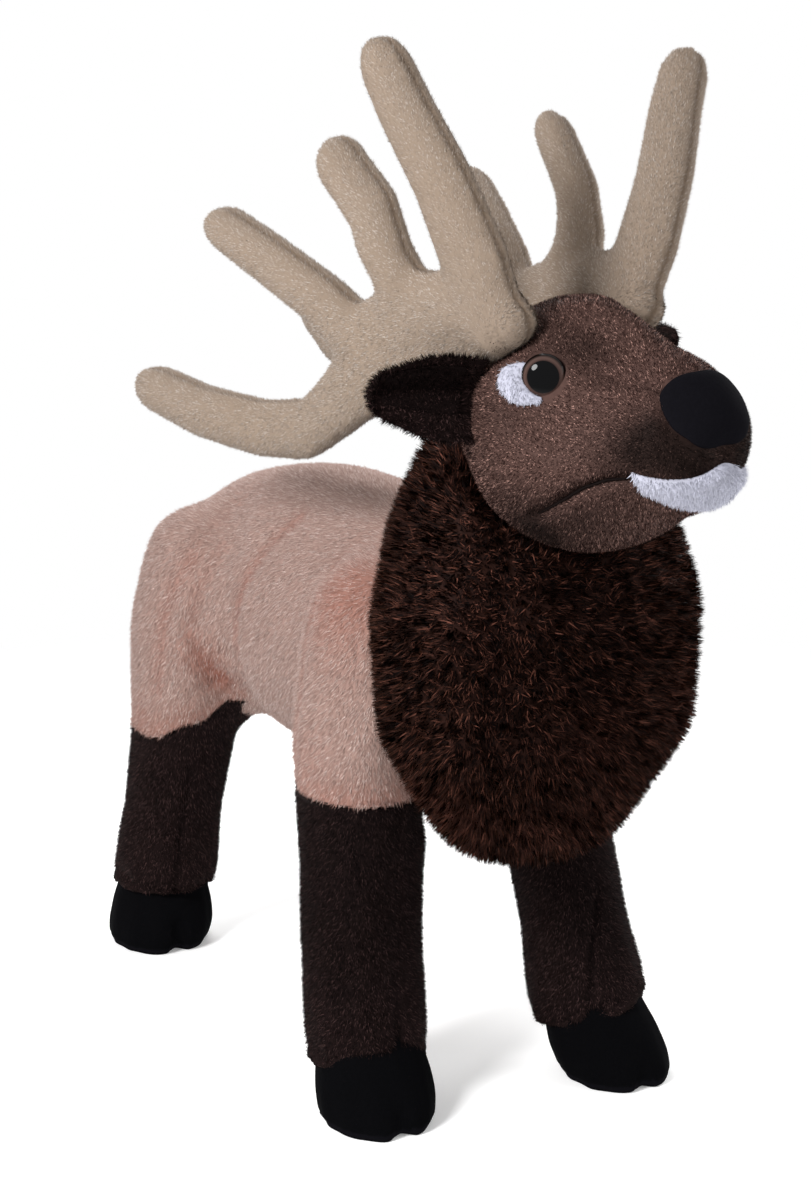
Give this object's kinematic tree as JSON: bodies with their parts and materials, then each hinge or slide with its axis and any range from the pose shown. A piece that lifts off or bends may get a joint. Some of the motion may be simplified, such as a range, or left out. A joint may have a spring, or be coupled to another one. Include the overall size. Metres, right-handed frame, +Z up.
{
  "type": "plush deer",
  "caption": "Standing stuffed toy deer with a shaggy neck ruff, flat stuffed branching antlers, safety eyes, small ears, a short tail and plush legs with cloth hooves.",
  "frame": {"origin": "middle of the bounding box, at the ground under the soles", "axes": "+Z up; the body faces -Y, so the toy's own left is +X; the head is turned 13 degrees towards +X"},
  "size_m": [0.1486, 0.3124, 0.3469],
  "materials": {
    "body_plush": "short peach plush with a soft nap",
    "dark_plush": "short very dark brown plush",
    "head_plush": "short dark brown plush with a rosy sheen",
    "shag_plush": "long shaggy near-black brown pile with red-brown tips",
    "antler_plush": "cream velvety plush",
    "black_plush": "smooth black short-pile cloth",
    "white_plush": "short white plush",
    "stuffing": "loose white polyester fibre",
    "eye_plastic": "clear domed brown and black safety eye",
    "washer_plastic": "moulded white washer"
  },
  "bodies": {
    "torso": {"back_panel_left": "body_plush", "back_panel_right": "body_plush", "belly_gusset": "body_plush", "torso_stuffing": "stuffing", "mane_left": "shag_plush", "mane_right": "shag_plush", "neck_stuffing": "stuffing"},
    "head": {"face_left": "head_plush", "face_right": "head_plush", "forehead_gusset": "head_plush", "jaw": "head_plush", "lower_lip": "white_plush", "nose": "black_plush", "head_stuffing": "stuffing", "eye_left": "eye_plastic", "eye_right": "eye_plastic", "eye_washer_left": "washer_plastic", "eye_washer_right": "washer_plastic", "eye_white_left": "white_plush", "eye_white_right": "white_plush"},
    "ear_left": {"ear_left_shell": "dark_plush", "ear_left_lining": "dark_plush"},
    "ear_right": {"ear_right_shell": "dark_plush", "ear_right_lining": "dark_plush"},
    "antler_left": {"antler_left_outer_panel": "antler_plush", "antler_left_inner_panel": "antler_plush", "antler_left_stuffing": "stuffing"},
    "antler_right": {"antler_right_outer_panel": "antler_plush", "antler_right_inner_panel": "antler_plush", "antler_right_stuffing": "stuffing"},
    "tail": {"tail_top": "body_plush", "tail_underside": "body_plush"},
    "front_left_leg": {"front_left_shoulder": "body_plush", "front_left_sleeve": "dark_plush", "front_left_stuffing": "stuffing", "front_left_hoof": "black_plush", "front_left_sole": "black_plush"},
    "front_right_leg": {"front_right_shoulder": "body_plush", "front_right_sleeve": "dark_plush", "front_right_stuffing": "stuffing", "front_right_hoof": "black_plush", "front_right_sole": "black_plush"},
    "rear_left_leg": {"rear_left_haunch": "body_plush", "rear_left_sleeve": "dark_plush", "rear_left_stuffing": "stuffing", "rear_left_hoof": "black_plush", "rear_left_sole": "black_plush"},
    "rear_right_leg": {"rear_right_haunch": "body_plush", "rear_right_sleeve": "dark_plush", "rear_right_stuffing": "stuffing", "rear_right_hoof": "black_plush", "rear_right_sole": "black_plush"}
  },
  "joints": [
    {"name": "head_turn", "type": "hinge", "parent": "torso", "child": "head", "pos_m": [0.00629, -0.09802, 0.234], "axis": [0, 0, 1], "range_deg": [-12, 12], "stiffness_Nm_per_rad": 0.5},
    {"name": "ear_left_bend", "type": "hinge", "parent": "head", "child": "ear_left", "pos_m": [0.04028, -0.07594, 0.243], "axis": [0, 0, 1], "range_deg": [-20, 20], "stiffness_Nm_per_rad": 0.03},
    {"name": "ear_right_bend", "type": "hinge", "parent": "head", "child": "ear_right", "pos_m": [-0.03393, -0.09308, 0.243], "axis": [0, 0, 1], "range_deg": [-20, 20], "stiffness_Nm_per_rad": 0.03},
    {"name": "antler_left_sway", "type": "hinge", "parent": "head", "child": "antler_left", "pos_m": [0.02926, -0.08194, 0.2624], "axis": [-0.3009, 0.8769, -0.3749], "range_deg": [-6, 6], "stiffness_Nm_per_rad": 1.2},
    {"name": "antler_right_sway", "type": "hinge", "parent": "head", "child": "antler_right", "pos_m": [-0.02141, -0.09363, 0.2624], "axis": [-0.1957, 0.8368, -0.5113], "range_deg": [-6, 6], "stiffness_Nm_per_rad": 1.2},
    {"name": "tail_lift", "type": "hinge", "parent": "torso", "child": "tail", "pos_m": [0.00629, 0.14149, 0.17322], "axis": [1, 0, 0], "range_deg": [0, 60]},
    {"name": "front_left_hip", "type": "hinge", "parent": "torso", "child": "front_left_leg", "pos_m": [0.03429, -0.01802, 0.15], "axis": [1, 0, 0], "range_deg": [-8, 8], "stiffness_Nm_per_rad": 2},
    {"name": "front_right_hip", "type": "hinge", "parent": "torso", "child": "front_right_leg", "pos_m": [-0.02171, -0.01802, 0.15], "axis": [1, 0, 0], "range_deg": [-8, 8], "stiffness_Nm_per_rad": 2},
    {"name": "rear_left_hip", "type": "hinge", "parent": "torso", "child": "rear_left_leg", "pos_m": [0.03729, 0.10598, 0.15], "axis": [1, 0, 0], "range_deg": [-8, 8], "stiffness_Nm_per_rad": 2},
    {"name": "rear_right_hip", "type": "hinge", "parent": "torso", "child": "rear_right_leg", "pos_m": [-0.02471, 0.10598, 0.15], "axis": [1, 0, 0], "range_deg": [-8, 8], "stiffness_Nm_per_rad": 2}
  ]
}
